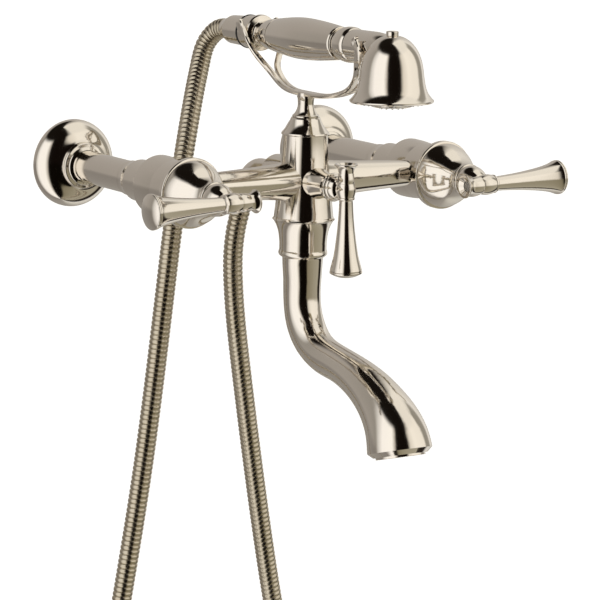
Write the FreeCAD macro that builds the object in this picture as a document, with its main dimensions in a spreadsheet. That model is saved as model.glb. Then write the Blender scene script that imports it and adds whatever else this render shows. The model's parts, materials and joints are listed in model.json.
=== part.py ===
import FreeCAD, Part
import Sketcher

import math
import os

V = FreeCAD.Vector

# Exposed wall-mounted bath faucet with a telephone-style hand shower.
# Frame: millimetres, X to the right when facing the wall, Y into the wall, Z up.
# The origin is on the wall plane, midway between the two supply centres.
# "Depth" means the distance from the wall, so depth = -Y.

doc = FreeCAD.newDocument("bath_faucet")
sheet = doc.addObject("Spreadsheet::Sheet", "Sizes")


class Size:
    """A number together with the spreadsheet expression that gives it."""

    def __init__(self, value, text):
        self.value = value
        self.text = text

    def joined(self, other, sign, value, flipped=False):
        words = other.text if isinstance(other, Size) else repr(float(other))
        pair = (words, self.text) if flipped else (self.text, words)
        return Size(value, "(" + pair[0] + " " + sign + " " + pair[1] + ")")

    def __add__(self, other):
        return self.joined(other, "+", self.value + number(other))

    def __sub__(self, other):
        return self.joined(other, "-", self.value - number(other))

    def __rsub__(self, other):
        return self.joined(other, "-", number(other) - self.value, flipped=True)

    def __mul__(self, other):
        return self.joined(other, "*", self.value * number(other))

    def __truediv__(self, other):
        return self.joined(other, "/", self.value / number(other))

    def __neg__(self):
        return Size(-self.value, "(-1 * " + self.text + ")")

    __radd__ = __add__
    __rmul__ = __mul__


def number(size):
    return size.value if isinstance(size, Size) else float(size)


def cell(alias, value, note):
    """Adds one driving dimension to the spreadsheet and returns it as a Size."""
    row = len(aliases) + 1
    aliases.append(alias)
    sheet.set("A%d" % row, note)
    sheet.set("B%d" % row, str(value))
    sheet.setAlias("B%d" % row, alias)
    return Size(float(value), "Sizes." + alias)


# ---------------------------------------------------------------- driving dimensions
aliases = []
centres = cell("centres", 203.2, "distance between the supply centres")
column_depth = cell("column_depth", 142.2, "column and bridge axis from the wall")
arm_rad = cell("arm_rad", 11.2, "supply arm outside radius")
arm_bore = cell("arm_bore", 8.5, "supply arm waterway radius")
flange_rad = cell("flange_rad", 30.6, "wall flange radius")
flange_depth = cell("flange_depth", 22.6, "wall flange depth")
inlet_rad = cell("inlet_rad", 9.3, "minor radius of the G 1/2 inlet thread")
inlet_length = cell("inlet_length", 9.5, "length of the inlet thread")
collar_rad = cell("collar_rad", 14.2, "valve body rear collar radius")
drum_rad = cell("drum_rad", 20.5, "valve body drum radius")
body_front = cell("body_front", 158.4, "depth of the valve body's front face")
valve_bore = cell("valve_bore", 13.0, "cartridge bore radius")
bonnet_rad = cell("bonnet_rad", 23.6, "bonnet rim radius")
bonnet_front = cell("bonnet_front", 189.2, "depth of the bonnet's front face")
stem_rad = cell("stem_rad", 4.0, "valve stem radius")
running_gap = cell("running_gap", 0.05, "radial running clearance of the stems")
hub_rad = cell("hub_rad", 11.5, "lever hub ring radius")
lever_depth = cell("lever_depth", 212.5, "depth of the valve lever axis")
lever_reach = cell("lever_reach", 59.4, "hub axis to the flared end of a valve lever")
lever_back = cell("lever_back", 18.5, "hub axis to the short end of a valve lever")
lever_thin = cell("lever_thin", 4.9, "valve lever radius beside the hub")
lever_flare = cell("lever_flare", 11.8, "valve lever radius at the flared end")
lever_turn = cell("lever_turn", 1.4, "angle at which the closed levers stand")
bridge_thin = cell("bridge_thin", 8.8, "bridge radius at the valve")
bridge_wide = cell("bridge_wide", 13.8, "bridge radius at the column")
bridge_bore = cell("bridge_bore", 4.6, "bridge waterway radius")
column_top = cell("column_top", 31.4, "height of the column body's top")
column_low = cell("column_low", 27.2, "drop of the column body below the bridge axis")
column_rad = cell("column_rad", 15.4, "column body radius at the top")
skirt_rad = cell("skirt_rad", 21.4, "column ridge radius")
chamber_rad = cell("chamber_rad", 9.0, "column waterway radius")
coupling_low = cell("coupling_low", 52.5, "drop of the spout coupling's lower face")
tap_depth = cell("tap_depth", 193.4, "depth of the diverter lever axis")
tap_reach = cell("tap_reach", 54.8, "hub axis to the flared end of the diverter lever")
tap_back = cell("tap_back", 17.7, "hub axis to the short end of the diverter lever")
tap_bore = cell("tap_bore", 8.0, "diverter cartridge radius")
tap_stem = cell("tap_stem", 3.0, "diverter stem radius")
spout_rad = cell("spout_rad", 14.0, "spout radius at the top")
spout_wall = cell("spout_wall", 2.2, "spout wall thickness")
outlet_rad = cell("outlet_rad", 13.8, "hose outlet boss radius")
elbow_rad = cell("elbow_rad", 8.1, "hose elbow radius")
elbow_depth = cell("elbow_depth", 76.0, "depth of the hose elbow's outlet")
elbow_turn = cell("elbow_turn", 17.5, "angle at which the elbow leans to the left")
cradle_foot = cell("cradle_foot", 43.2, "height of the cradle stem's foot")
cradle_top = cell("cradle_top", 57.6, "height of the cradle's underside at the stem")
prong_thick = cell("prong_thick", 3.2, "cradle prong thickness")
phone_height = cell("phone_height", 96.3, "height of the hand shower axis")
phone_tilt = cell("phone_tilt", 1.4, "upward tilt of the hand shower")
phone_tube = cell("phone_tube", 5.9, "hand shower draw tube radius")
grip_rad = cell("grip_rad", 14.2, "largest radius of the grip")
neck_rad = cell("neck_rad", 10.7, "hand shower neck radius")
bell_depth = cell("bell_depth", 243.5, "depth of the bell's axis")
bell_rad = cell("bell_rad", 27.7, "bell rim radius")
hose_rad = cell("hose_rad", 7.0, "shower hose radius")
doc.recompute()

half = centres / 2
TURN_TO_X = FreeCAD.Rotation(V(0, 0, 1), -90)
TURN_TO_MINUS_X = FreeCAD.Rotation(V(0, 0, 1), 90)
TURN_OUT = FreeCAD.Rotation(V(0, 0, 1), 180)
TURN_IN = FreeCAD.Rotation(V(0, 0, 1), 0)
TURN_UP = FreeCAD.Rotation(V(1, 0, 0), 90)
TURN_DOWN = FreeCAD.Rotation(V(1, 0, 0), -90)
pieces = {}


# ---------------------------------------------------------------- modelling helpers
def bind(thing, name, size):
    """Sets a property from a Size, keeping its expression, or from a plain number."""
    if isinstance(size, Size):
        thing.setExpression(name, size.text)
    elif name.startswith("Placement.Base."):
        setattr(thing.Placement.Base, name[-1], float(size))
    else:
        setattr(thing, name, float(size))


def place(thing, at, turn):
    """Puts an object at a point whose coordinates may come from the spreadsheet."""
    thing.Placement = FreeCAD.Placement(V(*[number(value) for value in at]), turn)
    for letter, value in zip("xyz", at):
        if isinstance(value, Size):
            thing.setExpression("Placement.Base." + letter, value.text)


def ring_sketch(body, outline):
    """Draws a closed outline of (radius, height) points in a body's XY plane.

    A third number is the bulge of the arc from the point before, outward when positive.
    A list in its place holds the points of a smooth curve from the point before.
    """
    sketch = body.newObject("Sketcher::SketchObject", body.Name + "_outline")
    plane = [item for item in body.Origin.OriginFeatures if item.Role == "XY_Plane"][0]
    sketch.AttachmentSupport = [(plane, "")]
    sketch.MapMode = "FlatFace"
    corners = [V(number(item[0]), number(item[1]), 0) for item in outline]
    edges = []
    for index, item in enumerate(outline):
        start = corners[index - 1]
        end = corners[index]
        if len(item) == 3 and isinstance(item[2], list):
            curve = Part.BSplineCurve()
            curve.interpolate([start] + [V(number(r), number(h), 0) for r, h in item[2]] + [end])
            edges.append(curve)
        elif len(item) == 3:
            way = (end - start).normalize()
            middle = (start + end) * 0.5 + V(way.y, -way.x, 0) * item[2]
            edges.append(Part.Arc(start, middle, end))
        else:
            edges.append(Part.LineSegment(start, end))
    names = sketch.addGeometry(edges, False)
    last = len(edges)
    ends = []
    for index, edge in enumerate(edges):
        clockwise = isinstance(edge, Part.Arc) and outline[index][2] < 0
        ends.append((2, 1) if clockwise else (1, 2))
    for index in range(last):
        after = (index + 1) % last
        sketch.addConstraint(Sketcher.Constraint(
            "Coincident", names[index], ends[index][1], names[after], ends[after][0]))
    for index, item in enumerate(outline):
        for kind, axis, size in (("DistanceX", -2, item[0]), ("DistanceY", -1, item[1])):
            if abs(number(size)) < 1e-9:
                sketch.addConstraint(Sketcher.Constraint(
                    "PointOnObject", names[index], ends[index][1], axis))
                continue
            place_of = sketch.addConstraint(Sketcher.Constraint(
                kind, -1, 1, names[index], ends[index][1], number(size)))
            if isinstance(size, Size):
                sketch.setExpression("Constraints[%d]" % place_of, size.text)
        if isinstance(edges[index], Part.Arc):
            rise = abs(item[2])
            chord = (corners[index] - corners[index - 1]).Length
            sketch.addConstraint(Sketcher.Constraint(
                "Radius", names[index], (chord * chord / 4 + rise * rise) / (2 * rise)))
    return sketch


def turned(name, outline, at=(0, 0, 0), turn=TURN_OUT):
    """A body turned about its own Y axis, then put in place."""
    body = doc.addObject("PartDesign::Body", name)
    sketch = ring_sketch(body, outline)
    spin = body.newObject("PartDesign::Revolution", name + "_turned")
    spin.Profile = sketch
    spin.ReferenceAxis = (sketch, ["V_Axis"])
    spin.Angle = 360.0
    body.Tip = spin
    place(body, at, turn)
    sketch.Visibility = False
    return body


def rod(name, radius, length, at, turn):
    """A plain cylinder whose own Z axis is turned to the wanted direction."""
    thing = doc.addObject("Part::Cylinder", name)
    bind(thing, "Radius", radius)
    bind(thing, "Height", length)
    place(thing, at, turn)
    return thing


def cut(name, base, tools):
    """Takes tools away from a base and checks that each of them removed something."""
    for index, tool in enumerate(tools):
        step = doc.addObject("Part::Cut", "%s_cut%d" % (name, index))
        step.Base = base
        step.Tool = tool
        doc.recompute()
        removed = base.Shape.Volume - step.Shape.Volume
        if removed < 0.01:
            raise RuntimeError("%s: tool %d removes nothing" % (name, index))
        base = step
    return base


def joined(name, parts):
    """Fuses several shapes into one solid."""
    thing = doc.addObject("Part::MultiFuse", name + "_fused")
    thing.Shapes = parts
    thing.Refine = True
    return thing


def keep(name, thing):
    """Names an object as a finished piece."""
    thing.Label = name
    pieces[name] = thing
    return thing


def spun(thing, degrees, axis, centre):
    """Turns a finished piece about an axis through a point."""
    extra = FreeCAD.Placement(V(0, 0, 0), FreeCAD.Rotation(axis, number(degrees)), centre)
    holder = doc.addObject("Part::Compound", thing.Name + "_held")
    holder.Links = [thing]
    holder.Placement = extra
    return holder


CYL_TO_X = FreeCAD.Rotation(V(0, 1, 0), 90)
CYL_TO_MINUS_X = FreeCAD.Rotation(V(0, 1, 0), -90)
CYL_OUT = FreeCAD.Rotation(V(1, 0, 0), 90)
CYL_IN = FreeCAD.Rotation(V(1, 0, 0), -90)
CYL_UP = FreeCAD.Rotation(V(0, 0, 1), 0)


# ---------------------------------------------------------------- wall flanges and arms
def wall_flange(side, x):
    outline = [
        (28.6, 0), (flange_rad - 0.8, 0), (flange_rad, 0.8, 0.2), (flange_rad, 2.2),
        (16.4, 16.8, [(29.9, 5.4), (27.9, 8.8), (25.2, 11.6), (21.9, 13.8), (18.8, 15.2)]),
        (16.0, 18.6), (15.2, 19.8, 0.3), (13.4, 20.2),
        (13.0, 21.6, 0.3), (arm_rad + 0.25, flange_depth), (arm_rad + 0.25, 14.6),
        (15.4, 14.6), (20.0, 11.6), (28.6, 2.0)]
    keep("wall_flange_" + side, turned("flange_" + side, outline, (x, 0, 0)))


def inlet_union(side, x):
    hexagon = doc.addObject("Part::Prism", "union_hex_" + side)
    hexagon.Polygon = 6
    hexagon.Circumradius = 15.0
    hexagon.Height = 13.2
    place(hexagon, (x, -0.6, 0), CYL_OUT)
    spigot = turned("union_spigot_" + side, [
        (5.5, 13.0), (8.46, 13.0), (8.46, 30.0), (5.5, 30.0)], (x, 0, 0))
    solid = joined("union_" + side, [hexagon, spigot])
    thread = rod("union_thread_" + side, inlet_rad, inlet_length, (x, -0.6, 0), CYL_OUT)
    relief = rod("union_relief_" + side, 9.8, 2.5, (x, -0.6 - inlet_length, 0), CYL_OUT)
    bore = rod("union_bore_" + side, 5.5, 16, (x, -10, 0), CYL_OUT)
    keep("inlet_union_" + side, cut("union_" + side, solid, [thread, relief, bore]))


def supply_arm(side, x):
    outline = [(arm_bore, 13.85), (arm_rad, 13.85), (arm_rad, 91.8), (arm_bore, 91.8)]
    keep("supply_arm_" + side, turned("arm_" + side, outline, (x, 0, 0)))


# ---------------------------------------------------------------- valves
def valve_body(side, x, inward):
    outline = [
        (arm_rad + 0.02, 83.6), (12.0, 83.6), (collar_rad, 95.5, -0.9), (collar_rad, 116.8),
        (drum_rad - 1.0, 118.8, 0.2), (drum_rad, 120.8, 0.3), (19.5, 140.0, 0.3),
        (18.8, body_front, 0.1), (valve_bore, body_front), (valve_bore, 127.0),
        (9.0, 124.5), (8.0, 120.0), (8.0, 92.0), (arm_rad + 0.02, 92.0)]
    solid = turned("valve_" + side, outline, (x, 0, 0))
    turn = CYL_TO_X if inward > 0 else CYL_TO_MINUS_X
    port = rod("valve_port_" + side, 6.0, 24, (x, -column_depth, 0), turn)
    keep("valve_body_" + side, cut("valve_" + side, solid, [port]))


def valve_bridge_envelope(side, x):
    outline = [(0, 83.6), (12.0, 83.6), (collar_rad, 95.5, -0.9), (collar_rad, 116.8),
               (drum_rad - 1.0, 118.8, 0.2), (drum_rad, 120.8, 0.3), (19.5, 140.0, 0.3),
               (18.8, body_front, 0.1), (0, body_front)]
    return turned("valve_envelope_" + side, outline, (x, 0, 0))


def cartridge(side, x, inward):
    nut_front = body_front + 5.1
    snout = body_front + 17.6
    outline = [
        (9.05, 127.2), (valve_bore - 0.05, 127.2), (valve_bore - 0.05, body_front + 0.1),
        (14.6, body_front + 0.1), (14.6, nut_front), (10.2, nut_front + 0.7),
        (10.2, snout), (9.6, snout + 0.6), (stem_rad + running_gap, snout + 0.6),
        (stem_rad + running_gap, 157.0), (9.05, 156.0)]
    solid = turned("cartridge_" + side, outline, (x, 0, 0))
    turn = CYL_TO_X if inward > 0 else CYL_TO_MINUS_X
    window = rod("cartridge_window_" + side, 4.8, 20, (x, -column_depth - 4.0, 0), turn)
    keep("cartridge_" + side, cut("cartridge_" + side, solid, [window]))


def disc_hole(side, x, depth, length, degrees):
    away = 5.0
    centre = (x + away * math.sin(math.radians(degrees)), -depth,
              away * math.cos(math.radians(degrees)))
    return rod("%s_hole_%d" % (side, round(depth)), 2.6, length, centre, CYL_OUT)


def turning_disc(side, x):
    solid = turned("turning_disc_%s_base" % side,
                   [(0, 134.04), (8.9, 134.04), (8.9, 137.9), (0, 137.9)], (x, 0, 0))
    holes = [disc_hole("turning_" + side, x, 133.0, 6.0, 90)]
    keep("turning_disc_" + side, cut("turning_disc_" + side, solid, holes))


def valve_stem(side, x):
    outline = [
        (0, 138.0), (8.6, 138.0), (8.6, 140.6), (stem_rad, 140.6), (stem_rad, 152.2),
        (8.7, 152.2), (8.7, 155.9), (stem_rad, 155.9), (stem_rad, 201.0), (0, 201.0)]
    keep("valve_stem_" + side, turned("stem_" + side, outline, (x, 0, 0)))


def bonnet(side, x):
    rim = body_front + 0.1
    outline = [
        (16.4, rim), (bonnet_rad - 0.7, rim), (bonnet_rad, rim + 0.8, 0.2),
        (bonnet_rad, 162.4), (bonnet_rad - 0.7, 163.2, 0.2), (22.3, 163.3),
        (22.3, 163.9), (10.8, 188.2, [(21.5, 167.2), (19.7, 171.6), (17.0, 176.2),
                                      (14.2, 180.2), (12.0, 184.2)]),
        (10.8, 188.6), (10.2, bonnet_front), (stem_rad + 0.6, bonnet_front),
        (stem_rad + 0.6, 186.4), (9.0, 186.0), (10.4, 181.0), (10.4, 176.0),
        (15.0, 170.0), (15.0, 164.4), (16.4, 163.6)]
    keep("bonnet_" + side, turned("bonnet_" + side, outline, (x, 0, 0)))


# Identical inner pieces of the two valves share a node, one solid on each side.
def pair(name, outline, holes=()):
    solids = []
    for side, x in (("left", -half), ("right", half)):
        solid = turned("%s_%s" % (name, side), outline, (x, 0, 0))
        tools = [disc_hole(name + side, x, *hole) for hole in holes]
        solids.append(cut("%s_%s" % (name, side), solid, tools) if tools else solid)
    group = doc.addObject("Part::Compound", name)
    group.Links = solids
    keep(name, group)


# ---------------------------------------------------------------- levers
def lever(name, at, sizes, turn, tilt):
    """Hub with its knuckle, tapered arm, domed cap, short end and through bolt.

    The lever's long arm points along the turned Y axis. Lengths are from the hub's axis.
    """
    hub_depth = sizes["ring_depth"]
    reach = sizes["reach"]
    back = sizes["back"]
    thin = sizes["thin"]
    flare = sizes["flare"]
    ring = sizes["ring"]
    bead = sizes["bead"]
    centre = V(*[number(value) for value in at])
    spindle = sizes["spindle"] + 0.02
    dome = turned(name + "_dome", [
        (spindle, hub_depth), (ring - 0.9, hub_depth), (ring, hub_depth + 0.8, 0.2),
        (ring, hub_depth + 2.2), (ring - 0.8, hub_depth + 3.0, 0.2),
        (ring - 1.5, sizes["waist"], 0.4), (bead - 0.9, sizes["shoulder"], 0.5),
        (bead * 0.7, sizes["shoulder"] + 0.7), (bead * 0.7, -at[1] - 1.5), (0, -at[1] - 1.5),
        (0, sizes["spindle_end"]),
        (spindle, sizes["spindle_end"])], (at[0], 0, at[2]))
    knuckle = turned(name + "_bead", [
        (0, -bead * 0.72), (bead - 0.8, -bead * 0.72), (bead - 0.8, bead * 0.72, 0.8),
        (0, bead * 0.72)], at, turn)
    hub = joined(name + "_hub", [dome, knuckle])
    hole = turned(name + "_bolt_hole", [(0, -12), (2.55, -12), (2.55, 12), (0, 12)], at, turn)
    hub = cut(name + "_hub", hub, [hole])
    edge = bead * 0.72 + 0.05
    arm = turned(name + "_arm", [
        (2.55, edge), (bead - 1.1, edge), (bead - 0.7, edge + 0.6, 0.1),
        (bead - 0.7, edge + 1.4), (thin + 0.3, edge + 1.9, 0.1), (thin, edge + 2.8, -0.2),
        (flare - 0.2, reach - 0.7, [
            (thin + 0.5, reach * 0.30), (thin + 1.4, reach * 0.50), (thin + 2.6, reach * 0.68),
            (thin + 4.1, reach * 0.84), (thin + 5.4, reach * 0.93)]),
        (flare - 0.2, reach), (0, reach), (0, 24), (2.55, 24)], at, turn)
    cap = turned(name + "_cap", [
        (0, reach + 0.05), (flare - 0.6, reach + 0.05), (flare, reach + 0.6, 0.15),
        (flare, reach + 1.3), (flare - 0.7, reach + 1.9, 0.15),
        (0.3, reach + 4.6, [(flare * 0.75, reach + 3.0), (flare * 0.4, reach + 4.2)]),
        (0, reach + 4.6)], at, turn)
    finial = turned(name + "_finial", [
        (2.6, -edge), (2.6, -back + 5.0), (3.7, -back + 5.0), (3.7, -back + 2.4),
        (6.4, -back), (7.6, -back), (7.9, -back + 0.5, 0.1), (7.6, -back + 1.1, 0.1),
        (bead - 1.5, -back + 6.0, -0.5), (bead - 0.8, -edge - 1.0, 0.2),
        (bead - 1.0, -edge)], at, turn)
    bolt = turned(name + "_bolt", [
        (0, -back + 2.6), (3.3, -back + 2.6), (3.3, -back + 4.95), (2.5, -back + 4.95),
        (2.5, 23.6), (0, 23.6)], at, turn)
    for label, thing in (("hub", hub), ("arm", arm), ("cap", cap), ("finial", finial),
                         ("bolt", bolt)):
        keep("%s_%s" % (name, label), spun(thing, tilt, V(0, -1, 0), centre))


valve_lever = {
    "ring_depth": bonnet_front + 0.6, "waist": 199.4, "shoulder": 205.6, "ring": hub_rad,
    "bead": 7.0, "reach": lever_reach, "back": lever_back, "thin": lever_thin,
    "flare": lever_flare, "spindle": stem_rad, "spindle_end": 201.1}
tap_lever = {
    "ring_depth": 177.4, "waist": 182.8, "shoulder": 186.8, "ring": 9.7, "bead": 6.5,
    "reach": tap_reach, "back": tap_back, "thin": 4.6, "flare": 11.0,
    "spindle": tap_stem, "spindle_end": 184.1}

for side, x, inward in (("left", -half, 1), ("right", half, -1)):
    wall_flange(side, x)
    inlet_union(side, x)
    supply_arm(side, x)
    valve_body(side, x, inward)
    cartridge(side, x, inward)
    turning_disc(side, x)
    valve_stem(side, x)
    bonnet(side, x)
    way = TURN_TO_MINUS_X if inward > 0 else TURN_TO_X
    lever("lever_" + side, (x, -lever_depth, 0), valve_lever, way, lever_turn)

pair("inlet_gaskets", [(6.0, 10.3), (9.5, 10.3), (9.5, 12.5), (6.0, 12.5)])
pair("cartridge_seals", [(5.2, 127.3), (8.9, 127.3), (8.9, 129.9), (5.2, 129.9)])
pair("fixed_discs", [(0, 130.0), (9.0, 130.0), (9.0, 134.0), (0, 134.0)], [(129.0, 6.0, 0)])


# ---------------------------------------------------------------- column
column_at = (0, -column_depth, 0)
column_outside = [
    (skirt_rad - 0.8, -column_low), (skirt_rad, 0.8 - column_low, 0.1),
    (20.3, -24.6, -0.2),
    (column_rad, column_top, [(19.7, -19.0), (18.7, -9.0), (17.6, 2.0), (16.6, 12.0),
                              (15.8, 22.0)])]
envelope = turned("column_envelope", [(0, -column_low)] + column_outside + [(0, column_top)],
                  column_at, TURN_UP)
shell = turned("column_shell", column_outside + [
    (5.0, column_top), (5.0, 22.0), (chamber_rad, 20.0), (chamber_rad, -17.0),
    (14.1, -19.0), (14.1, -column_low)], column_at, TURN_UP)
side_ports = rod("column_side_ports", 6.95, 60, (-30, -column_depth, 0), CYL_TO_X)
front_port = rod("column_front_port", tap_bore + 0.02, 30, (0, -column_depth + 6.0, 0), CYL_OUT)
rear_port = rod("column_rear_port", 6.4, 30, (0, -column_depth, 0), CYL_IN)
keep("column_body", cut("column", shell, [side_ports, front_port, rear_port]))

cap_profile = [
    (0, 23.0), (4.95, 23.0), (4.95, column_top + 0.05), (15.9, column_top + 0.05),
    (16.4, column_top + 0.7, 0.15), (16.1, column_top + 1.6),
    (10.2, cradle_foot - 0.8, [(14.0, 35.4), (11.6, 39.0)]),
    (9.6, cradle_foot), (4.0, cradle_foot), (4.0, 33.0), (0, 33.0)]
keep("column_cap", turned("cap", cap_profile, column_at, TURN_UP))


def bridge(side, x, inward):
    """A hollow cone from the column to a valve, with a spigot at each end."""
    turn = TURN_TO_MINUS_X if inward > 0 else TURN_TO_X
    cone = turned("bridge_cone_" + side, [
        (bridge_bore, 9.4), (bridge_wide + 0.4, 9.4),
        (bridge_thin, 86.0, [(13.2, 15.5), (12.4, 22.0), (11.4, 36.0), (10.6, 50.0),
                             (9.6, 70.0)]),
        (bridge_thin, 96.0), (bridge_bore, 96.0)], column_at, turn)
    cone = cut("bridge_cone_" + side, cone, [
        envelope, valve_bridge_envelope("bridge_" + side, x)])
    near = turned("bridge_near_" + side, [
        (bridge_bore, 9.4), (6.93, 9.4), (6.93, 24.0), (bridge_bore, 24.0)], column_at, turn)
    far = turned("bridge_far_" + side, [
        (bridge_bore, 78.0), (5.97, 78.0), (5.97, 88.2), (bridge_bore, 88.2)], column_at, turn)
    keep("bridge_" + side, joined("bridge_" + side, [cone, near, far]))


bridge("left", -half, 1)
bridge("right", half, -1)

# ---------------------------------------------------------------- diverter
collar = turned("tap_collar", [
    (tap_stem + 1.4, 164.9), (tap_bore, 164.9), (tap_bore, 150.0), (11.2, 150.0),
    (10.4, 161.0), (8.3, 174.0, -0.5), (8.6, 176.4), (8.0, 176.9), (tap_stem + 1.4, 176.9)])
keep("diverter_collar", cut("diverter_collar", collar, [envelope]))
tap_body = turned("tap_body", [
    (tap_stem + running_gap, 136.4), (tap_bore, 136.4), (tap_bore, 164.8),
    (tap_stem + running_gap, 164.8)])
tap_windows = rod("tap_windows", 3.8, 30, (0, -column_depth, -15), CYL_UP)
tap_sides = rod("tap_sides", 3.8, 30, (-15, -column_depth, 0), CYL_TO_X)
keep("diverter_cartridge", cut("diverter_cartridge", tap_body, [tap_windows, tap_sides]))
keep("diverter_stem", turned("tap_stem", [
    (0, 137.4), (tap_stem, 137.4), (tap_stem, 184.0), (0, 184.0)]))
lever("diverter", (0, -tap_depth, 0), tap_lever, TURN_DOWN, lever_turn)

# ---------------------------------------------------------------- spout
keep("spout_coupling", turned("coupling", [
    (11.05, -24.0), (11.05, -coupling_low), (14.6, -coupling_low),
    (16.0, 1.0 - coupling_low), (16.8, 2.8 - coupling_low, 0.2),
    (16.2, 5.0 - coupling_low, 0.1), (16.2, -43.0), 
    (20.6, -column_low - 0.05, [(16.6, -38.6), (17.6, -33.6), (19.0, -30.0)]),
    (14.0, -column_low - 0.05), (14.0, -19.4), (12.5, -19.4), (12.5, -24.0)],
    column_at, TURN_UP))

# Spout centre line: a drop, a bend forward, a shallow run and a bend down to the outlet.
# Each station has depth and height of its centre, its slope below level, and its radius.
spout_drop = coupling_low.value + 0.1
bend_start = 79.0
bend_rad = 38.0


def bend_station(degrees, radius):
    angle = math.radians(degrees)
    return (column_depth.value + bend_rad * (1 - math.cos(angle)),
            -bend_start - bend_rad * math.sin(angle), 90.0 - degrees, radius)


spout_stations = [
    (column_depth.value, -spout_drop, 90.0, spout_rad.value),
    (column_depth.value, -66.0, 90.0, 13.2),
    (column_depth.value, -bend_start, 90.0, 12.8),
    bend_station(26.0, 12.9), bend_station(52.0, 12.7), bend_station(78.0, 12.5),
    (190.0, -119.2, 10.5, 12.3), (208.6, -123.0, 14.0, 13.1),
    (226.4, -128.9, 23.0, 14.8), (241.6, -136.9, 33.5, 16.8),
    (253.8, -146.6, 46.0, 19.2), (260.8, -156.2, 61.0, 21.0), (263.9, -163.9, 74.0, 21.7)]


def station_ring(station, thinner):
    depth, height, slope, radius = station
    angle = math.radians(slope)
    way = V(0, -math.cos(angle), -math.sin(angle))
    return Part.Wire(Part.Circle(V(0, -depth, height), way, radius - thinner).toShape())


outside = Part.makeLoft([station_ring(item, 0.0) for item in spout_stations], True, False)
plug = (column_depth.value, -spout_drop - 6.0, 90.0, 13.7)
inside = Part.makeLoft([station_ring(item, spout_wall.value)
                        for item in [plug] + spout_stations[1:]], True, False)
lip_way = V(0, -math.cos(math.radians(74.0)), -math.sin(math.radians(74.0)))
lip_centre = V(0, -263.9, -163.9)
lip = Part.makeCone(21.7, 18.2, 3.2, lip_centre, lip_way)
stub = Part.makeCylinder(11.0, 30.0, V(0, -column_depth.value, -spout_drop - 0.5))
for height in (-31.0, -41.0):
    rim = V(0, -column_depth.value, height)
    stub = stub.cut(Part.makeCylinder(12.0, 2.2, rim).cut(Part.makeCylinder(9.4, 2.2, rim)))
collar_ring = Part.makeCylinder(12.3, 2.4, V(0, -column_depth.value, -23.95))
seat = Part.makeCylinder(15.0, 12.0, lip_centre - lip_way * 6.0, lip_way)
stub_bore = Part.makeCylinder(8.4, 60.0, V(0, -column_depth.value, -spout_drop - 26.0))
tube = outside.fuse([lip, stub, collar_ring]).cut([inside, seat, stub_bore])
spout = doc.addObject("Part::Feature", "spout_tube")
spout.Shape = tube.removeSplitter()
keep("spout_tube", spout)
print("spout: volume %.0f, solids %d" % (spout.Shape.Volume, len(spout.Shape.Solids)))

lip_turn = FreeCAD.Rotation(V(0, 1, 0), lip_way)
lip_at = (0, lip_centre.y, lip_centre.z)
keep("aerator_housing", turned("housing", [
    (11.5, -5.0), (14.9, -5.0), (14.9, 3.3), (16.6, 3.3), (16.6, 4.6), (11.5, 4.6)],
    lip_at, lip_turn))
keep("aerator_insert", turned("insert", [
    (0, -4.0), (11.4, -4.0), (11.4, 3.6), (10.6, 3.6), (10.6, -1.0), (0, -1.0)],
    lip_at, lip_turn))
seals = doc.addObject("Part::Compound", "spout_seal_pair")
seals.Links = [turned("spout_seal_%d" % index, [
    (9.45, height + 0.1), (10.98, height + 0.1), (10.98, height + 2.1), (9.45, height + 2.1)],
    column_at, TURN_UP) for index, height in enumerate((-31.0, -41.0))]
keep("spout_seals", seals)

# ---------------------------------------------------------------- hose outlet
outlet_at = (0, -column_depth, 0)
boss = turned("outlet_boss", [
    (5.0, 9.6), (6.35, 9.6), (6.35, 14.0), (outlet_rad, 14.0), (outlet_rad, 34.6),
    (outlet_rad - 1.0, 35.7, 0.3), (6.0, 35.7), (6.0, 30.0), (5.0, 30.0)],
    outlet_at, TURN_IN)
boss_neck = turned("outlet_neck", [
    (5.0, 9.6), (6.35, 9.6), (6.35, 20.0), (5.0, 20.0)], outlet_at, TURN_IN)
keep("outlet_boss", joined("outlet", [
    cut("outlet_boss", boss, [envelope]), boss_neck]))

elbow_bend = 12.0
bend_at = -elbow_depth.value - elbow_bend


def elbow_path(start_depth, length):
    start = V(0, -start_depth, 0)
    first = V(0, bend_at, 0)
    middle = V(0, bend_at + elbow_bend * math.sin(math.radians(45)),
               -elbow_bend * (1 - math.cos(math.radians(45))))
    last = V(0, -elbow_depth.value, -elbow_bend)
    end = last - V(0, 0, length)
    return Part.Wire([Part.LineSegment(start, first).toShape(),
                      Part.Arc(first, middle, last).toShape(),
                      Part.LineSegment(last, end).toShape()])


def elbow_solid(radius, start_depth, length):
    ring = Part.Wire(Part.Circle(V(0, -start_depth, 0), V(0, 1, 0), radius).toShape())
    return elbow_path(start_depth, length).makePipeShell([ring], True, False)


plain = elbow_solid(elbow_rad.value, 106.4, 2.0)
spigot = Part.makeCylinder(5.95, 9.0, V(0, -112.0, 0), V(0, 1, 0))
nipple = Part.makeCylinder(6.6, 12.0, V(0, -elbow_depth.value, -elbow_bend - 1.0), V(0, 0, -1))
waterway = elbow_solid(4.5, 113.0, 15.0)
elbow = doc.addObject("Part::Feature", "outlet_elbow")
elbow.Shape = plain.fuse([spigot, nipple]).cut(waterway).removeSplitter()
keep("outlet_elbow", elbow)
elbow.Placement = FreeCAD.Placement(
    V(0, 0, 0), FreeCAD.Rotation(V(0, 1, 0), elbow_turn.value), V(0, 0, 0))
elbow_down = FreeCAD.Rotation(V(0, 1, 0), elbow_turn.value).multVec(V(0, 0, -1))
elbow_exit = V(0, -elbow_depth.value, 0)

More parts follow.
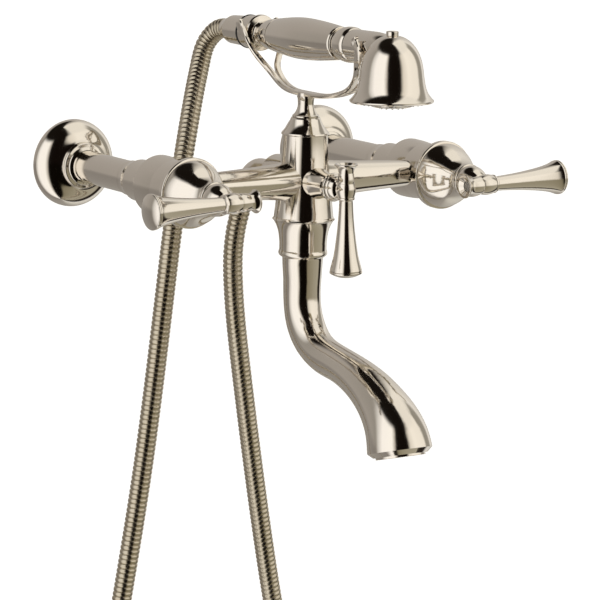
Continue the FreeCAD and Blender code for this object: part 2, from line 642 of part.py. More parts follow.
nut_start = elbow_bend + 2.1
nut_end = 27.0
nut_turn = FreeCAD.Rotation(V(0, 1, 0), elbow_down)
nut_at = (0, -elbow_depth, 0)
keep("hose_nut_lower", turned("nut_lower", [
    (6.65, nut_start), (9.3, nut_start), (9.8, nut_start + 0.5, 0.1), (9.6, nut_end - 3.0),
    (hose_rad + 0.4, nut_end), (4.5, nut_end), (4.5, nut_end - 1.8), (6.65, nut_end - 1.8)],
    nut_at, nut_turn))

# ---------------------------------------------------------------- cradle
keep("cradle_stem", turned("stem_foot", [
    (0, 33.2), (3.95, 33.2), (3.95, cradle_foot + 0.05), (8.7, cradle_foot + 0.05),
    (9.1, cradle_foot + 0.5, 0.1), (9.1, cradle_foot + 1.3), (8.2, cradle_foot + 2.0, 0.1),
    (5.5, 53.5, -0.9), (6.3, cradle_top, -0.2), (0, cradle_top)], column_at, TURN_UP))


def phone_axis(depth):
    """Height of the tilted hand shower axis at a depth."""
    return phone_height.value + (depth - column_depth.value) * math.tan(
        math.radians(phone_tilt.value))


# Each half of the wishbone is one bar. A station is the bar's centre (distance from the
# plane X = 0, depth, height), its half width and its twist about its own centre line.
WISHBONE = [
    (14.3, 78.2, 103.0, 3.6, 90.0), (14.4, 80.6, 99.0, 3.7, 90.0),
    (14.4, 85.2, 94.0, 3.2, 86.0), (13.8, 88.2, 90.2, 2.7, 68.0),
    (11.7, 91.2, 85.2, 2.3, 40.0), (8.4, 94.2, 79.6, 2.2, 14.0),
    (4.8, 98.0, 74.0, 2.2, 4.0), (2.9, 103.4, 69.2, 2.3, 0.0),
    (2.2, 110.2, 64.6, 2.3, 0.0), (2.0, 118.0, 61.2, 2.3, 0.0),
    (2.0, 127.0, 59.5, 2.3, 0.0), (2.0, 142.0, 59.2, 2.3, 0.0),
    (2.0, 158.0, 59.4, 2.3, 0.0), (2.0, 172.0, 60.8, 2.3, 0.0),
    (2.1, 187.0, 64.0, 2.3, 0.0), (2.6, 198.6, 68.6, 2.2, 0.0),
    (4.0, 206.0, 73.6, 2.2, 8.0), (6.4, 212.0, 79.2, 2.2, 26.0),
    (9.2, 217.0, 84.4, 2.4, 52.0), (11.6, 220.6, 88.8, 2.8, 76.0),
    (12.7, 222.4, 93.4, 3.2, 90.0), (12.9, 221.4, 98.6, 3.2, 90.0),
    (12.9, 218.4, 104.6, 3.3, 90.0)]
SECTION_SIDES = 16
SECTION_POWER = 0.62


def squashed(value):
    """Turns the sine or cosine of an ellipse into that of a rounded rectangle."""
    return math.copysign(abs(value) ** SECTION_POWER, value)


def prong_ring(index, mirror):
    """Points of a rounded rectangle across the bar at a station, closed on the first."""
    offset, depth, height, half_wide, twist = WISHBONE[index]
    before = WISHBONE[max(index - 1, 0)]
    after = WISHBONE[min(index + 1, len(WISHBONE) - 1)]
    way = V((after[0] - before[0]) * mirror, before[1] - after[1], after[2] - before[2])
    way.normalize()
    across = V(mirror, 0, 0) - way * way.dot(V(mirror, 0, 0))
    across.normalize()
    rise = way.cross(across).normalize() * mirror
    angle = math.radians(twist)
    wide = across * math.cos(angle) + rise * math.sin(angle)
    thin = rise * math.cos(angle) - across * math.sin(angle)
    centre = V(offset * mirror, -depth, height)
    points = []
    for step in range(SECTION_SIDES):
        turn = 2 * math.pi * step / SECTION_SIDES
        points.append(centre + wide * (half_wide * squashed(math.cos(turn)))
                      + thin * (prong_thick.value / 2 * squashed(math.sin(turn))))
    return points + [points[0]]


def wishbone_half(mirror):
    rings = [prong_ring(index, mirror) for index in range(len(WISHBONE))]
    return Part.makeLoft([Part.makePolygon(ring) for ring in rings], True, False)


seat_cut = Part.makeCylinder(9.0, 4.0, V(0, -column_depth.value, cradle_top.value - 3.95))
halves = [wishbone_half(1), wishbone_half(-1)]
pad = Part.makeCylinder(5.6, 2.2, V(0, -column_depth.value, cradle_top.value + 0.05))
yoke = halves[0].fuse([halves[1], pad]).cut(seat_cut)
yoke_piece = doc.addObject("Part::Feature", "yoke")
yoke_piece.Shape = yoke
keep("cradle_yoke", yoke_piece)
print("cradle: volume %.0f, halves %.0f and %.0f, solids %d" % (
    yoke.Volume, halves[0].Volume, halves[1].Volume, len(yoke.Solids)))

# ---------------------------------------------------------------- hand shower
phone_at = (0, 0, phone_height)
tilt_centre = V(0, -column_depth.value, phone_height.value)


def tilted(name, thing):
    keep(name, spun(thing, phone_tilt, V(-1, 0, 0), tilt_centre))


tilted("hose_nut_upper", turned("nut_upper", [
    (4.5, 40.0), (hose_rad + 0.3, 40.0), (9.2, 47.0, -0.2), (9.9, 49.0, 0.1),
    (10.6, 68.6), (6.5, 68.6), (6.5, 52.0), (4.5, 50.0)], phone_at))
tilted("handset_seal", turned("phone_seal", [
    (6.5, 68.7), (11.2, 68.7), (11.2, 70.3, 0.6), (6.5, 70.3)], phone_at))
tilted("handset_ferrule", turned("ferrule", [
    (4.2, 54.0), (6.4, 54.0), (6.4, 70.4), (11.1, 70.4), (11.4, 71.2, 0.1), (11.3, 79.8),
    (12.0, 80.8), (12.0, 85.4, 0.6), (9.4, 86.6), (7.9, 87.4, -0.2), (7.9, 90.9),
    (phone_tube, 90.9), (phone_tube, 214.0), (4.2, 214.0)], phone_at))
tilted("handset_grip", turned("grip", [
    (phone_tube + 0.02, 91.0), (8.4, 91.0), (9.3, 92.2, 0.2),
    (11.5, 106.6, [(10.1, 96.8), (10.8, 101.6)]), (11.1, 106.8), (11.1, 107.4), (11.6, 107.6),
    (11.2, 182.6, [(12.6, 116.0), (13.6, 126.0), (grip_rad, 138.0), (13.9, 150.0),
                   (13.0, 164.0), (12.1, 174.0)]),
    (10.6, 183.6, 0.1), (phone_tube + 0.02, 183.6)], phone_at))
tilted("handset_ring", turned("front_ring", [
    (phone_tube + 0.02, 183.7), (10.0, 183.7), (9.8, 185.2, -0.1),
    (10.9, 200.2, [(11.0, 188.4), (11.8, 192.2), (12.0, 195.6), (11.7, 198.6)]),
    (10.3, 200.6), (phone_tube + 0.02, 200.6)], phone_at))

# The bell is drawn about its own vertical axis, with heights measured from that of the grip.
bell_at = (0, -bell_depth, phone_height - 1.0)
bell = turned("bell", [
    (0, 10.3), (4.2, 10.3),
    (bell_rad, -31.6, [(7.8, 9.3), (11.4, 7.1), (14.7, 3.8), (17.2, 0.0), (19.0, -4.3),
                       (20.3, -9.6), (21.1, -15.4), (21.9, -20.8), (23.2, -25.4),
                       (25.2, -28.9)]),
    (bell_rad, -32.4, 0.1), (26.8, -33.2), (24.4, -33.2), (24.2, -30.8), (20.4, -24.4),
    (19.3, -15.2), (17.6, -6.2), (14.0, 0.0), (8.6, 4.6), (0, 6.4)], bell_at, TURN_UP)
neck = turned("bell_neck", [
    (0, 200.7), (neck_rad, 200.7), (neck_rad, 224.0),
    (8.4, 239.0, [(10.4, 229.5), (9.7, 234.2)]), (0, 239.0)], phone_at)
neck_bore = rod("bell_neck_bore", phone_tube + 0.05, 48.0, (0, -200.0, phone_height), CYL_OUT)
head = cut("bell_head", joined("bell_and_neck", [bell, neck]), [
    turned("bell_hollow", [
        (0, -37.0), (20.3, -37.0), (20.3, -24.4), (19.2, -15.2), (17.5, -6.2), (13.9, 0.0),
        (8.6, 4.5), (0, 6.3)], bell_at, TURN_UP), neck_bore])
tilted("handset_head", head)
tilted("spray_face", turned("face", [
    (0, -36.4), (11.0, -36.2, 0.1), (14.4, -35.0, 0.3), (15.4, -33.7, -0.2),
    (24.1, -33.3), (24.1, -30.9), (0, -30.9)], bell_at, TURN_UP))
tilted("head_finial", turned("finial", [
    (0, 10.35), (3.9, 10.35), (4.1, 10.6), (4.1, 12.9), (3.7, 13.4, 0.1), (0, 13.6)],
    bell_at, TURN_UP))

# ---------------------------------------------------------------- hose
# The hose leaves the hand shower towards the wall, drops behind the left valve, hangs in
# one loop below the faucet and comes up to the elbow behind the column.
tail = FreeCAD.Placement(V(0, 0, 0), FreeCAD.Rotation(V(-1, 0, 0), phone_tilt.value),
                         tilt_centre).multVec(V(0, -40.0, phone_height.value))
tail_way = FreeCAD.Rotation(V(-1, 0, 0), phone_tilt.value).multVec(V(0, 1, 0))
HOSE_ROUTE = [
    tail, tail + tail_way * 7.8, V(-1.5, -25.4, 90.1), V(-4.3, -21.0, 84.2),
    V(-7.4, -19.9, 77.0), V(-12.3, -23.6, 66.0), V(-23.4, -34.7, 48.0),
    V(-35.0, -45.5, 22.0), V(-45.9, -54.5, -9.0), V(-54.9, -60.5, -42.0),
    V(-60.9, -63.2, -78.0), V(-65.9, -64.6, -112.0), V(-72.9, -66.2, -160.0),
    V(-81.7, -68.0, -215.0), V(-95.0, -70.0, -285.0), V(-112.0, -72.0, -370.0),
    V(-127.0, -73.0, -455.0), V(-132.0, -74.0, -535.0), V(-111.0, -75.0, -600.0),
    V(-57.0, -76.0, -640.0), V(6.0, -76.0, -636.0), V(51.0, -76.0, -590.0),
    V(62.0, -76.0, -520.0), V(51.0, -76.0, -440.0), V(33.8, -76.0, -362.0),
    V(18.5, -76.0, -290.0), V(5.2, -76.0, -215.0), V(-5.3, -76.0, -150.0),
    V(-11.5, -76.0, -108.8), V(-14.1, -76.0, -83.0), V(-15.0, -76.0, -63.0),
    V(-13.8, -76.0, -48.0), elbow_exit + elbow_down * (nut_end + 11.0),
    elbow_exit + elbow_down * nut_end]
ARC_SHARE = 0.45


def hose_path(points):
    """Straight runs joined by tangent arcs, with the radii printed."""
    edges = []
    start = points[0]
    length = 0.0
    for before, corner, after in zip(points, points[1:], points[2:]):
        first = (before - corner).normalize()
        second = (after - corner).normalize()
        half_turn = (math.pi - first.getAngle(second)) / 2
        shorter = min((before - corner).Length, (after - corner).Length)
        reach = ARC_SHARE * shorter
        radius = reach / math.tan(half_turn)
        enter = corner + first * reach
        leave = corner + second * reach
        centre = corner + (first + second).normalize() * (radius / math.cos(half_turn))
        middle = centre + (corner - centre).normalize() * radius
        edges.append(Part.LineSegment(start, enter).toShape())
        edges.append(Part.Arc(enter, middle, leave).toShape())
        print("hose bend: turn %5.1f deg, radius %7.1f mm" % (
            math.degrees(2 * half_turn), radius))
        start = leave
    edges.append(Part.LineSegment(start, points[-1]).toShape())
    wire = Part.Wire(edges)
    return wire


path = hose_path(HOSE_ROUTE)
first_way = (HOSE_ROUTE[1] - HOSE_ROUTE[0]).normalize()
section = Part.Wire(Part.Circle(HOSE_ROUTE[0], first_way, hose_rad.value).toShape())
hose = doc.addObject("Part::Feature", "hose")
hose.Shape = path.makePipeShell([section], True, False)
keep("shower_hose", hose)
doc.recompute()
expected = math.pi * hose_rad.value ** 2 * path.Length
print("hose length %.1f mm, volume ratio %.5f" % (path.Length, hose.Shape.Volume / expected))

# ---------------------------------------------------------------- checks and export
for thing in doc.Objects:
    if "Invalid" in thing.State or "Error" in thing.State:
        raise RuntimeError("%s failed: %s" % (thing.Label, thing.State))
os.makedirs("parts", exist_ok=True)
for name, thing in pieces.items():
    shape = thing.Shape
    if shape.isNull() or not shape.isValid() or not shape.Solids:
        raise RuntimeError("%s has no valid solid" % name)
for name, thing in pieces.items():
    thing.Shape.exportStep("parts/%s.step" % name)
print("%d pieces written" % len(pieces))
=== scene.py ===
"""The looks of a wall-mounted bath faucet in polished nickel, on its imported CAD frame.

Lengths are in metres, in the frame of the CAD: X to the right when facing the wall,
Y into the wall and Z up, with the origin between the two supply centres.
"""

import json
import math

import bmesh
import bpy
from mathutils import Matrix, Vector


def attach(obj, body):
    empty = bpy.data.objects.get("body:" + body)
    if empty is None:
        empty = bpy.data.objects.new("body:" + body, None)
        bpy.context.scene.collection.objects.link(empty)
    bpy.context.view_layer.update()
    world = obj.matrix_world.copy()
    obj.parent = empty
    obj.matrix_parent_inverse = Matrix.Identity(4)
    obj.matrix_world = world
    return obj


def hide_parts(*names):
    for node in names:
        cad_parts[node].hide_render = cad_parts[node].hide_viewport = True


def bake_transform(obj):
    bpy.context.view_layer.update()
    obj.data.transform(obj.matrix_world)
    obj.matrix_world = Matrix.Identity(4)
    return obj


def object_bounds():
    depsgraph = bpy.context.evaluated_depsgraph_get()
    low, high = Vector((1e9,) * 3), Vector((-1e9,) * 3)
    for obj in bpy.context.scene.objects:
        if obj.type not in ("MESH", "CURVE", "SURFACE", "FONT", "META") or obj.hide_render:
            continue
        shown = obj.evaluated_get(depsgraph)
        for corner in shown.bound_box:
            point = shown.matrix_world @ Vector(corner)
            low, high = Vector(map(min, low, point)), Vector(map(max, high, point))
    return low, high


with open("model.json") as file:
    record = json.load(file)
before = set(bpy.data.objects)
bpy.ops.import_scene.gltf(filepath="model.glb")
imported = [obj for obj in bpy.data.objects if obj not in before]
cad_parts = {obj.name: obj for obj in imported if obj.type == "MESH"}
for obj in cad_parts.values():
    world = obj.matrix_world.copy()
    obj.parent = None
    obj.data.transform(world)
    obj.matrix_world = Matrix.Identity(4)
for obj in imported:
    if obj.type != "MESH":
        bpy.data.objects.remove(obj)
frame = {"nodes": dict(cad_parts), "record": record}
cad_box = [list(corner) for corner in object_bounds()]
scene = bpy.context.scene
FULL_TURN = 2 * math.pi


def new_object(name, data):
    """Put a new object in the scene."""
    piece = bpy.data.objects.new(name, data)
    scene.collection.objects.link(piece)
    return piece


# ---------------------------------------------------------------- camera
CAMERA_PLACE = Vector((-1.2687, -2.0802, 0.3331))
CAMERA_RIGHT = Vector((0.8388, -0.5441, 0.0204))
CAMERA_UP = Vector((0.0793, 0.1593, 0.9841))
CAMERA_LENS_MM = 206.3
CAMERA_SENSOR_MM = 36.0
CAMERA_NEAREST = 0.1
CAMERA_FARTHEST = 50.0


def make_camera():
    """The camera, by its place and the ways its right side and its top point."""
    data = bpy.data.cameras.new("camera")
    data.sensor_width = CAMERA_SENSOR_MM
    data.lens = CAMERA_LENS_MM
    data.clip_start = CAMERA_NEAREST
    data.clip_end = CAMERA_FARTHEST
    camera = new_object("camera", data)
    right = CAMERA_RIGHT.normalized()
    up = (CAMERA_UP - right * CAMERA_UP.dot(right)).normalized()
    back = right.cross(up)
    turn = Matrix((right, up, back)).transposed()
    camera.matrix_world = Matrix.Translation(CAMERA_PLACE) @ turn.to_4x4()
    scene.camera = camera


make_camera()

# ---------------------------------------------------------------- hose
HOSE_RADIUS = 0.0070
HOSE_SIDES = 40
# The hose's route from the hand shower to the elbow, as the CAD has it.
HOSE_ROUTE_MM = [
    (0.0, -40.03, 93.80), (0.0, -32.23, 93.61), (-1.5, -25.4, 90.1),
    (-4.3, -21.0, 84.2), (-7.4, -19.9, 77.0), (-12.3, -23.6, 66.0),
    (-23.4, -34.7, 48.0), (-35.0, -45.5, 22.0), (-45.9, -54.5, -9.0),
    (-54.9, -60.5, -42.0), (-60.9, -63.2, -78.0), (-65.9, -64.6, -112.0),
    (-72.9, -66.2, -160.0), (-81.7, -68.0, -215.0), (-95.0, -70.0, -285.0),
    (-112.0, -72.0, -370.0), (-127.0, -73.0, -455.0), (-132.0, -74.0, -535.0),
    (-111.0, -75.0, -600.0), (-57.0, -76.0, -640.0), (6.0, -76.0, -636.0),
    (51.0, -76.0, -590.0), (62.0, -76.0, -520.0), (51.0, -76.0, -440.0),
    (33.8, -76.0, -362.0), (18.5, -76.0, -290.0), (5.2, -76.0, -215.0),
    (-5.3, -76.0, -150.0), (-11.5, -76.0, -108.8), (-14.1, -76.0, -83.0),
    (-15.0, -76.0, -63.0), (-13.8, -76.0, -48.0), (-11.43, -76.0, -36.24),
    (-8.12, -76.0, -25.75)]
MM_PER_METRE = 1000
ROUTE_RESOLUTION = 16
# One turn of the hose's wound strip: share of the pitch and depth below the crown.
STRIP_PITCH = 0.0033
STRIP_PROFILE = [
    (0.00, 0.00090), (0.05, 0.00046), (0.14, 0.00022), (0.28, 0.00007),
    (0.48, 0.0), (0.68, 0.00007), (0.82, 0.00022), (0.92, 0.00048)]


def hose_centreline():
    """Points along the smooth line that the hose hangs in."""
    curve = bpy.data.curves.new("hose_route", "CURVE")
    curve.dimensions = "3D"
    curve.resolution_u = ROUTE_RESOLUTION
    spline = curve.splines.new("NURBS")
    spline.points.add(len(HOSE_ROUTE_MM) - 1)
    for knot, point in zip(spline.points, HOSE_ROUTE_MM):
        knot.co = (*(Vector(point) / MM_PER_METRE), 1.0)
    spline.order_u = 3
    spline.use_endpoint_u = True
    holder = new_object("hose_route", curve)
    mesh = bpy.data.meshes.new_from_object(holder)
    line = [vertex.co.copy() for vertex in mesh.vertices]
    bpy.data.objects.remove(holder)
    bpy.data.curves.remove(curve)
    bpy.data.meshes.remove(mesh)
    return line


class Track:
    """A line that tells its place and its cross directions at any distance along it."""

    def __init__(self, line):
        self.line = line
        self.marks = [0.0]
        for start, end in zip(line, line[1:]):
            self.marks.append(self.marks[-1] + (end - start).length)
        self.length = self.marks[-1]
        self.ways = []
        for index in range(len(line)):
            before = line[max(index - 1, 0)]
            after = line[min(index + 1, len(line) - 1)]
            self.ways.append((after - before).normalized())
        # The sides turn only as the line bends, so nothing built on them is twisted.
        side = self.ways[0].orthogonal().normalized()
        self.sides = [side]
        for start, end in zip(self.ways, self.ways[1:]):
            side = start.rotation_difference(end) @ side
            side = (side - end * side.dot(end)).normalized()
            self.sides.append(side)

    def at(self, distance):
        """The place at a distance, and two directions across the line there."""
        distance = min(max(distance, 0.0), self.length)
        low = 0
        high = len(self.marks) - 1
        while high - low > 1:
            middle = (low + high) // 2
            if self.marks[middle] <= distance:
                low = middle
            else:
                high = middle
        share = (distance - self.marks[low]) / (self.marks[high] - self.marks[low])
        place = self.line[low].lerp(self.line[high], share)
        way = self.ways[low].lerp(self.ways[high], share).normalized()
        side = self.sides[low].lerp(self.sides[high], share)
        side = (side - way * side.dot(way)).normalized()
        return place, side, way.cross(side)


def make_hose(track):
    """The wound metal strip: one helical rib from end to end.

    A row of vertices follows one point of the strip's profile round one turn, so its
    last vertex joins the first one of that point's row a turn further on.
    """
    steps = len(STRIP_PROFILE)
    turns = math.ceil(track.length / STRIP_PITCH)
    rows = (turns + 1) * steps
    vertices = []
    for row in range(rows):
        turn, part = divmod(row, steps)
        share, drop = STRIP_PROFILE[part]
        for index in range(HOSE_SIDES):
            angle = index / HOSE_SIDES
            distance = (turn - 1 + share + angle) * STRIP_PITCH
            place, side, across = track.at(distance)
            out = (side * math.cos(FULL_TURN * angle)
                   + across * math.sin(FULL_TURN * angle))
            vertices.append(place + out * (HOSE_RADIUS - drop))
    faces = []
    for row in range(rows - 1):
        for index in range(HOSE_SIDES):
            here = row * HOSE_SIDES + index
            if index + 1 < HOSE_SIDES:
                beside = here + 1
            elif row + 1 + steps < rows:
                beside = (row + steps) * HOSE_SIDES
            else:
                continue
            faces.append((here, beside, beside + HOSE_SIDES, here + HOSE_SIDES))
    mesh = bpy.data.meshes.new("hose_ribs")
    mesh.from_pydata(vertices, [], faces)
    mesh.update()
    mesh.shade_smooth()
    return new_object("hose_ribs", mesh)


hose_track = Track(hose_centreline())
hose = make_hose(hose_track)
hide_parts("shower_hose")
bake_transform(hose)


# ---------------------------------------------------------------- spray nozzles
# The hand shower lies slightly tilted in its cradle, and its face tilts with it.
PHONE_TILT = Matrix.Rotation(math.radians(-1.4), 4, "X")
TILT_CENTRE = Vector((0.0, -0.1422, 0.0963))
FACE_CENTRE = Vector((0.0, -0.2435, 0.0953))
# Rings of nozzles: radius, number of nozzles and depth below FACE_CENTRE.
NOZZLE_RINGS = [
    (0.0035, 6, 0.0364), (0.0078, 12, 0.0363), (0.0182, 24, 0.0336),
    (0.0216, 30, 0.0334)]
NOZZLE_TIP = 0.00050
NOZZLE_FOOT = 0.00080
NOZZLE_LENGTH = 0.0018
NOZZLE_SIDES = 14
NOZZLE_SHARP_ANGLE = math.radians(40)


def make_nozzles():
    """Soft nozzles standing out of the hand shower's face."""
    mesh = bpy.data.meshes.new("spray_nozzles")
    shape = bmesh.new()
    for radius, count, drop in NOZZLE_RINGS:
        for index in range(count):
            angle = FULL_TURN * index / count
            place = FACE_CENTRE + Vector((radius * math.cos(angle),
                                          radius * math.sin(angle), -drop))
            place = TILT_CENTRE + PHONE_TILT.to_3x3() @ (place - TILT_CENTRE)
            bmesh.ops.create_cone(
                shape, cap_ends=True, segments=NOZZLE_SIDES, radius1=NOZZLE_TIP,
                radius2=NOZZLE_FOOT, depth=NOZZLE_LENGTH,
                matrix=Matrix.Translation(place) @ PHONE_TILT)
    shape.to_mesh(mesh)
    shape.free()
    mesh.shade_smooth()
    mesh.set_sharp_from_angle(angle=NOZZLE_SHARP_ANGLE)
    return new_object("spray_nozzles", mesh)


nozzles = make_nozzles()
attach(nozzles, "handset")


# ---------------------------------------------------------------- materials
# Most values of a noise texture lie between these two.
NOISE_SPAN = (0.3, 0.7)


class Tree:
    """Adds nodes to a node tree with short calls."""

    def __init__(self, tree):
        self.tree = tree

    def feed(self, socket, value):
        """Link a node's output to a socket, or set the socket's own value."""
        if isinstance(value, bpy.types.NodeSocket):
            self.tree.links.new(value, socket)
        else:
            socket.default_value = value

    def add(self, kind, inputs=None, **settings):
        """A new node; its inputs go by name or by number."""
        node = self.tree.nodes.new(kind)
        for key, value in settings.items():
            setattr(node, key, value)
        for key, value in (inputs or {}).items():
            self.feed(node.inputs[key], value)
        return node

    def maths(self, operation, *values):
        """The result of a maths node."""
        node = self.add("ShaderNodeMath", dict(enumerate(values)),
                        operation=operation)
        return node.outputs["Value"]


class Finish(Tree):
    """A material, with the patterns that the finishes share."""

    def __init__(self, name):
        self.material = bpy.data.materials.new(name)
        self.material.use_nodes = True
        super().__init__(self.material.node_tree)
        self.shader = self.tree.nodes["Principled BSDF"]

    def set(self, **inputs):
        """Feed the shader's own inputs."""
        for key, value in inputs.items():
            self.feed(self.shader.inputs[key.replace("_", " ")], value)

    def noise(self, scale, detail, stretch=(1.0, 1.0, 1.0)):
        """A cloudy pattern through the solid, from 0 to 1."""
        where = self.add("ShaderNodeTexCoord")
        spread = self.add("ShaderNodeMapping", {
            "Vector": where.outputs["Object"], "Scale": stretch})
        cloud = self.add("ShaderNodeTexNoise", {
            "Vector": spread.outputs["Vector"], "Scale": scale, "Detail": detail})
        return cloud.outputs["Fac"]

    def ranged(self, value, low, high):
        """A pattern turned into numbers from low to high."""
        spread = self.add("ShaderNodeMapRange", {
            "Value": value, "From Min": NOISE_SPAN[0], "From Max": NOISE_SPAN[1],
            "To Min": low, "To Max": high})
        return spread.outputs["Result"]

    def mixed(self, value, low, high):
        """A pattern turned into colours from low to high."""
        ramp = self.add("ShaderNodeValToRGB", {"Fac": value})
        stops = zip(ramp.color_ramp.elements, NOISE_SPAN, (low, high))
        for stop, position, colour in stops:
            stop.position = position
            stop.color = (*colour, 1.0)
        return ramp.outputs["Color"]

    def bump(self, height, distance, strength):
        """A normal bent by a pattern of heights."""
        node = self.add("ShaderNodeBump", {
            "Height": height, "Distance": distance, "Strength": strength})
        return node.outputs["Normal"]


def polished_nickel():
    """Warm mirror plating with a trace of hand polishing and a faint film."""
    finish = Finish("polished_nickel")
    film = finish.noise(scale=9.0, detail=4.0)
    wipe = finish.noise(scale=260.0, detail=2.0, stretch=(1.0, 1.0, 0.15))
    finish.set(
        Metallic=1.0,
        Base_Color=finish.mixed(
            film, low=(0.84, 0.79, 0.715), high=(0.88, 0.83, 0.76)),
        Roughness=finish.ranged(film, low=0.085, high=0.12),
        Normal=finish.bump(wipe, distance=0.00001, strength=0.15),
    )
    return finish.material


def hose_nickel():
    """Duller and darker plating on the hose's strip."""
    finish = Finish("hose_nickel")
    film = finish.noise(scale=40.0, detail=3.0)
    finish.set(
        Metallic=1.0,
        Base_Color=finish.mixed(
            film, low=(0.56, 0.50, 0.39), high=(0.64, 0.58, 0.47)),
        Roughness=finish.ranged(film, low=0.2, high=0.27),
    )
    return finish.material


def machined_brass():
    """Unplated brass with fine tool marks."""
    finish = Finish("machined_brass")
    cuts = finish.noise(scale=900.0, detail=2.0, stretch=(0.05, 1.0, 0.05))
    finish.set(
        Metallic=1.0,
        Base_Color=finish.mixed(
            cuts, low=(0.62, 0.44, 0.18), high=(0.78, 0.60, 0.30)),
        Roughness=finish.ranged(cuts, low=0.24, high=0.38),
        Normal=finish.bump(cuts, distance=0.00004, strength=0.4),
    )
    return finish.material


def machined_steel():
    """Bright steel with a fine grain."""
    finish = Finish("machined_steel")
    cuts = finish.noise(scale=700.0, detail=2.0)
    finish.set(
        Metallic=1.0,
        Base_Color=finish.mixed(
            cuts, low=(0.50, 0.50, 0.50), high=(0.64, 0.63, 0.62)),
        Roughness=finish.ranged(cuts, low=0.22, high=0.36),
    )
    return finish.material


def black_rubber():
    """Dull black rubber with a fine grain."""
    finish = Finish("black_rubber")
    grain = finish.noise(scale=1500.0, detail=3.0)
    finish.set(
        Base_Color=finish.mixed(
            grain, low=(0.010, 0.010, 0.010), high=(0.022, 0.021, 0.020)),
        Roughness=finish.ranged(grain, low=0.45, high=0.62),
        Normal=finish.bump(grain, distance=0.00003, strength=0.5),
    )
    return finish.material


def ceramic():
    """Lapped white ceramic."""
    finish = Finish("ceramic")
    grain = finish.noise(scale=800.0, detail=2.0)
    finish.set(
        Base_Color=finish.mixed(
            grain, low=(0.80, 0.79, 0.76), high=(0.88, 0.87, 0.85)),
        Roughness=finish.ranged(grain, low=0.12, high=0.2),
    )
    return finish.material


def grey_plastic():
    """Moulded grey plastic with a fine grain."""
    finish = Finish("grey_plastic")
    grain = finish.noise(scale=1200.0, detail=3.0)
    finish.set(
        Base_Color=finish.mixed(
            grain, low=(0.42, 0.41, 0.39), high=(0.50, 0.49, 0.47)),
        Roughness=finish.ranged(grain, low=0.4, high=0.55),
        Normal=finish.bump(grain, distance=0.00003, strength=0.4),
    )
    return finish.material


# The material of each of the record's slots.
LOOKS = {
    "polished_metal": polished_nickel(),
    "hose_steel": hose_nickel(),
    "raw_brass": machined_brass(),
    "bolt_steel": machined_steel(),
    "disc": ceramic(),
    "washer": black_rubber(),
    "seal": black_rubber(),
    "aerator_plastic": grey_plastic(),
}
CAD_SHARP_ANGLE = math.radians(24)


def dress(piece, look):
    """Give a piece its only material."""
    piece.data.materials.clear()
    piece.data.materials.append(LOOKS[look])


for part in frame["record"]["subparts"]:
    node = frame["nodes"][part["node"]]
    dress(node, part["material_slot"])
    node.data.shade_smooth()
    node.data.set_sharp_from_angle(angle=CAD_SHARP_ANGLE)
dress(hose, "hose_steel")
dress(nozzles, "aerator_plastic")

# ---------------------------------------------------------------- studio
FLOOR_DROP = 0.02
FLOOR_HALF_WIDTH = 30.0
FLOOR_COLOUR = (0.92, 0.92, 0.92, 1.0)
FLOOR_ROUGHNESS = 0.9
FLOOR_GLOW_COLOUR = (1.0, 1.0, 1.0, 1.0)
FLOOR_GLOW = 0.70


def make_floor():
    """A pale floor just below the hose; the metal doesn't mirror it."""
    mesh = bpy.data.meshes.new("floor")
    shape = bmesh.new()
    bmesh.ops.create_grid(shape, x_segments=1, y_segments=1, size=FLOOR_HALF_WIDTH)
    bmesh.ops.translate(shape, verts=shape.verts,
                        vec=(0, 0, cad_box[0][2] - FLOOR_DROP))
    shape.to_mesh(mesh)
    shape.free()
    floor = new_object("floor", mesh)
    finish = Finish("floor_white")
    finish.set(Base_Color=FLOOR_COLOUR, Roughness=FLOOR_ROUGHNESS,
               Emission_Color=FLOOR_GLOW_COLOUR, Emission_Strength=FLOOR_GLOW)
    mesh.materials.append(finish.material)
    floor.visible_glossy = False


# The studio is painted on the world in upright bands round the object. A row is an angle
# in degrees to the right of the studio's front, and the colour there. The low bands lie
# below the side light's edge, the high bands above it, and the ceiling's above its own.
# An edge is the two heights, from -1 at the bottom to 1 at the top, that it runs between.
LOW_BANDS = [
    (-180, (0.36, 0.34, 0.31)), (-120, (0.28, 0.26, 0.24)),
    (-92, (0.23, 0.21, 0.19)), (-82, (0.66, 0.63, 0.60)),
    (-66, (1.08, 1.05, 1.02)), (-30, (1.12, 1.09, 1.04)),
    (-20, (0.60, 0.56, 0.50)), (-13, (0.004, 0.003, 0.002)),
    (26, (0.003, 0.002, 0.001)), (33, (0.25, 0.22, 0.15)),
    (60, (0.33, 0.30, 0.22)), (106, (0.42, 0.39, 0.31)),
    (112, (0.02, 0.015, 0.012)), (132, (0.02, 0.015, 0.012)),
    (140, (0.80, 0.78, 0.74)), (160, (0.62, 0.60, 0.55)),
    (180, (0.36, 0.34, 0.31))]
HIGH_BANDS = [
    (-180, (0.46, 0.43, 0.40)), (-120, (0.40, 0.37, 0.34)),
    (-92, (0.32, 0.30, 0.27)), (-82, (0.70, 0.68, 0.65)),
    (-66, (1.08, 1.05, 1.02)), (-30, (1.12, 1.09, 1.04)),
    (-20, (0.55, 0.51, 0.46)), (-14, (0.006, 0.004, 0.003)),
    (30, (0.005, 0.003, 0.002)), (40, (0.80, 0.75, 0.66)),
    (60, (1.02, 0.97, 0.88)), (104, (0.96, 0.91, 0.82)),
    (112, (0.30, 0.28, 0.24)), (132, (0.34, 0.32, 0.28)),
    (140, (0.86, 0.83, 0.78)), (160, (0.66, 0.63, 0.58)),
    (180, (0.46, 0.43, 0.40))]
CEILING_BANDS = [
    (-180, (0.010, 0.008, 0.006)), (36, (0.006, 0.004, 0.003)),
    (52, (0.90, 0.86, 0.78)), (150, (0.92, 0.88, 0.80)),
    (172, (0.30, 0.28, 0.25)), (180, (0.010, 0.008, 0.006))]
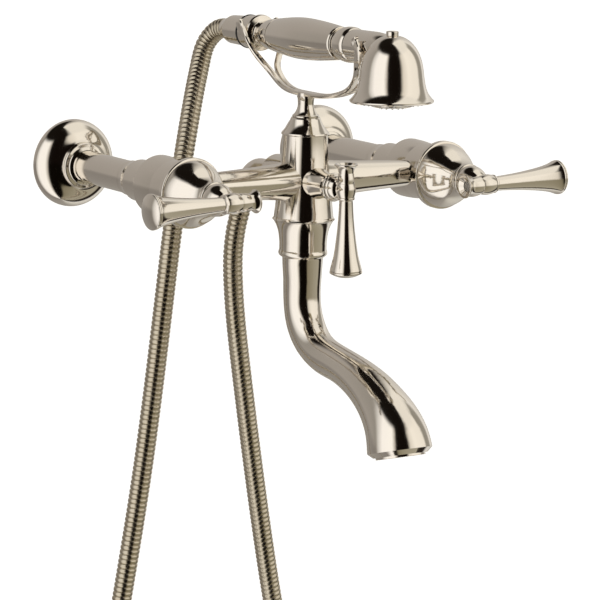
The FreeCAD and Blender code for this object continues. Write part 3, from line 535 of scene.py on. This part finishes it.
SIDE_LIGHT_EDGE = (-0.13, 0.03)
CEILING_EDGE = (0.66, 0.80)
# The studio's front, in degrees from straight out of the wall towards X.
STUDIO_FRONT = -33.2
# The front is in the middle of the ramps, and a whole turn more keeps the share positive.
RAMP_MIDDLE = 0.5
WHOLE_TURN = 1.0
WORLD_STRENGTH = 1.0
# A Mix node's sockets for colours, by number, because others have the same names.
MIX_FACTOR = 0
MIX_BELOW = 6
MIX_ABOVE = 7
MIX_RESULT = 2


def make_world():
    """The soft studio light that the metal mirrors."""
    world = bpy.data.worlds.new("studio")
    world.use_nodes = True
    scene.world = world
    tree = Tree(world.node_tree)
    where = tree.add("ShaderNodeTexCoord")
    split = tree.add("ShaderNodeSeparateXYZ", {"Vector": where.outputs["Generated"]})
    out_of_wall = tree.maths("MULTIPLY", split.outputs["Y"], -1.0)
    angle = tree.maths("ARCTAN2", split.outputs["X"], out_of_wall)
    share = tree.maths("MULTIPLY_ADD", angle, 1 / FULL_TURN,
                       RAMP_MIDDLE + WHOLE_TURN - STUDIO_FRONT / 360)
    wrapped = tree.maths("FRACT", share)

    def banded(bands):
        """The colour that the bands have in the direction looked in."""
        ramp = tree.add("ShaderNodeValToRGB", {"Fac": wrapped})
        stops = ramp.color_ramp.elements
        while len(stops) < len(bands):
            stops.new(RAMP_MIDDLE)
        for stop, (degrees, colour) in zip(stops, bands):
            stop.position = (degrees + 180) / 360
            stop.color = (*colour, 1.0)
        return ramp.outputs["Color"]

    def by_height(edge, below, above):
        """One colour below an edge, and another above it."""
        spread = tree.add("ShaderNodeMapRange", {
            "Value": split.outputs["Z"], "From Min": edge[0], "From Max": edge[1]},
            interpolation_type="SMOOTHSTEP")
        blend = tree.add("ShaderNodeMix", {
            MIX_FACTOR: spread.outputs["Result"], MIX_BELOW: below,
            MIX_ABOVE: above}, data_type="RGBA")
        return blend.outputs[MIX_RESULT]

    walls = by_height(SIDE_LIGHT_EDGE, banded(LOW_BANDS), banded(HIGH_BANDS))
    studio = by_height(CEILING_EDGE, walls, banded(CEILING_BANDS))
    background = world.node_tree.nodes["Background"]
    tree.feed(background.inputs["Color"], studio)
    tree.feed(background.inputs["Strength"], WORLD_STRENGTH)


make_floor()
make_world()
scene.view_settings.view_transform = "Standard"
